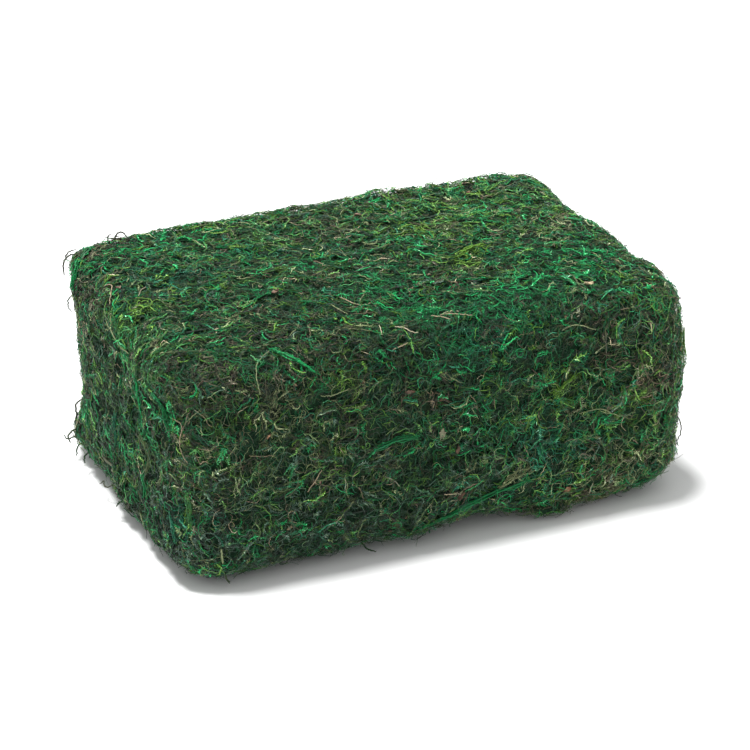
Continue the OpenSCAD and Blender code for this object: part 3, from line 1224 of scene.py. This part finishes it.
def make_flakes():
    """The listed flakes and the loose flakes, in one piece."""
    rng = np.random.default_rng(SEED + 12)
    heap = Heap()
    centres = np.concatenate([
        settle(np.array([place for place, _, _ in FLAKES]) * MM, 0.9 * MM),
        settle(scatter(LOOSE_FLAKES, rng, FACES), 0.5 * MM),
    ])
    normals = normal_at(centres)
    along = combed(centres, normals, rng, 1.2)
    for k, centre in enumerate(centres):
        if k < len(FLAKES):
            _, length, name = FLAKES[k]
            shade = 1.0
        else:
            length = rng.uniform(1.6, 3.6)
            name = rng.choice(list(FLAKE_COLOURS))
            shade = rng.uniform(0.55, 0.9)
        normal = unit(normals[k] + rng.normal(0, 0.2, 3))
        heading = unit(along[k] - normal * np.dot(along[k], normal))
        add_flake(heap, centre, normal, heading, length * MM, FLAKE_COLOURS[name][0], shade, rng, k)
    make_piece("leaf_flakes", heap, flake_material())


# ---- camera, light and floor ----

def aim(obj, target):
    """Turns an object's -Z axis towards TARGET."""
    obj.rotation_mode = "QUATERNION"
    obj.rotation_quaternion = (target - obj.location).to_track_quat("-Z", "Y")


def make_camera():
    """The photo's viewpoint: in front of the brick, a little to its left, and above."""
    azimuth = math.radians(-23.0)
    elevation = math.radians(25.3)
    roll = math.radians(-0.39)
    away = 5.81 * (HIGH[0] - LOW[0])
    back = Vector((math.sin(azimuth) * math.cos(elevation),
                   -math.cos(azimuth) * math.cos(elevation),
                   math.sin(elevation)))
    data = bpy.data.cameras.new("camera")
    data.sensor_width = 36
    data.lens = 151.7
    camera = bpy.data.objects.new("camera", data)
    bpy.context.scene.collection.objects.link(camera)
    camera.location = Vector(CENTRE) + back * away
    right = Vector((math.cos(azimuth), math.sin(azimuth), 0))
    up = back.cross(right)
    # The brick stands a little left of and above the picture's middle
    target = Vector(CENTRE) + right * 2.8 * MM - up * 6.2 * MM
    aim(camera, target)
    camera.rotation_quaternion = Quaternion(back, roll) @ camera.rotation_quaternion
    bpy.context.scene.camera = camera


def make_sun(name, towards, strength, angle):
    """A soft light from the direction TOWARDS, ANGLE degrees across."""
    data = bpy.data.lights.new(name, "SUN")
    data.energy = strength
    data.angle = math.radians(angle)
    light = bpy.data.objects.new(name, data)
    bpy.context.scene.collection.objects.link(light)
    light.location = Vector(CENTRE) + Vector(towards)
    aim(light, Vector(CENTRE))


def make_studio():
    """A plain pale floor, an even white sky and one broad soft sun."""
    mesh = bpy.data.meshes.new("floor")
    reach = 12.0
    corners = [(-reach, -reach, 0), (reach, -reach, 0), (reach, reach, 0), (-reach, reach, 0)]
    mesh.from_pydata(corners, [], [(0, 1, 2, 3)])
    floor = bpy.data.objects.new("floor", mesh)
    bpy.context.scene.collection.objects.link(floor)
    nodes = Nodes("floor", 0.9, 0.1)
    nodes.shader.inputs["Base Color"].default_value = (0.9, 0.9, 0.9, 1)
    mesh.materials.append(nodes.material)
    world = bpy.data.worlds.new("studio")
    world.use_nodes = True
    sky = world.node_tree.nodes["Background"]
    sky.inputs["Color"].default_value = (1, 1, 1, 1)
    sky.inputs["Strength"].default_value = 0.72
    bpy.context.scene.world = world
    make_sun("key", (-0.16, 0.10, 0.98), 4.5, 14)
    bpy.context.scene.view_settings.view_transform = "Standard"


# ---- the brick ----

make_camera()
make_studio()
WIRE = wire_material()
for node in SLOTS:
    if node.endswith("_pins"):
        cad_object(node).data.materials.clear()
        cad_object(node).data.materials.append(WIRE)
pressed_copy("foam_core", "foam_block", foam_material(), FOAM_UNDER)
for node in MATS:
    pressed_copy(node, f"{node}_mat", MAT, MAT_UNDER)
thread_layer("threads", tufts=2200, each=4, seed=SEED + 1, steps=9, length=(6, 18),
             width=(0.28, 0.56), depth=(-2.4, 1.2), gap=1.5, fan=0.3, curl=90, wander=200, wave=0.6)
thread_layer("curls", tufts=3600, each=5, seed=SEED + 2, steps=6, length=(4, 10),
             width=(0.27, 0.54), depth=(-2.4, 1.2), gap=1.6, fan=0.5, curl=240, wander=240, wave=0.6,
             rise=(-0.8, 1.7))
frond_layer("fronds", FEATHER, tufts=1950, each=5, seed=SEED + 3, steps=5, length=(5, 12),
            width=(0.36, 0.66), depth=(-2.6, 1.4), gap=1.8, fan=0.45, curl=120, wander=150, wave=0.5,
            shares=LEAFY)
frond_layer("ropes", ROPE, tufts=1200, each=5, seed=SEED + 4, steps=6, length=(6, 15),
            width=(0.42, 0.72), depth=(-1.6, 1.8), gap=0.9, fan=0.15, curl=80, wander=130, wave=0.5,
            together=True, shares=LEAFY)
thread_layer("hairs", tufts=2600, each=3, seed=SEED + 5, steps=9, length=(6, 16), width=(0.2, 0.38),
             depth=(0.2, 1.8), gap=1.4, fan=0.5, curl=200, wander=180, wave=0.5, rise=(0.4, 1.6),
             shares=HAIRY)
make_locks()
make_twigs()
make_flakes()
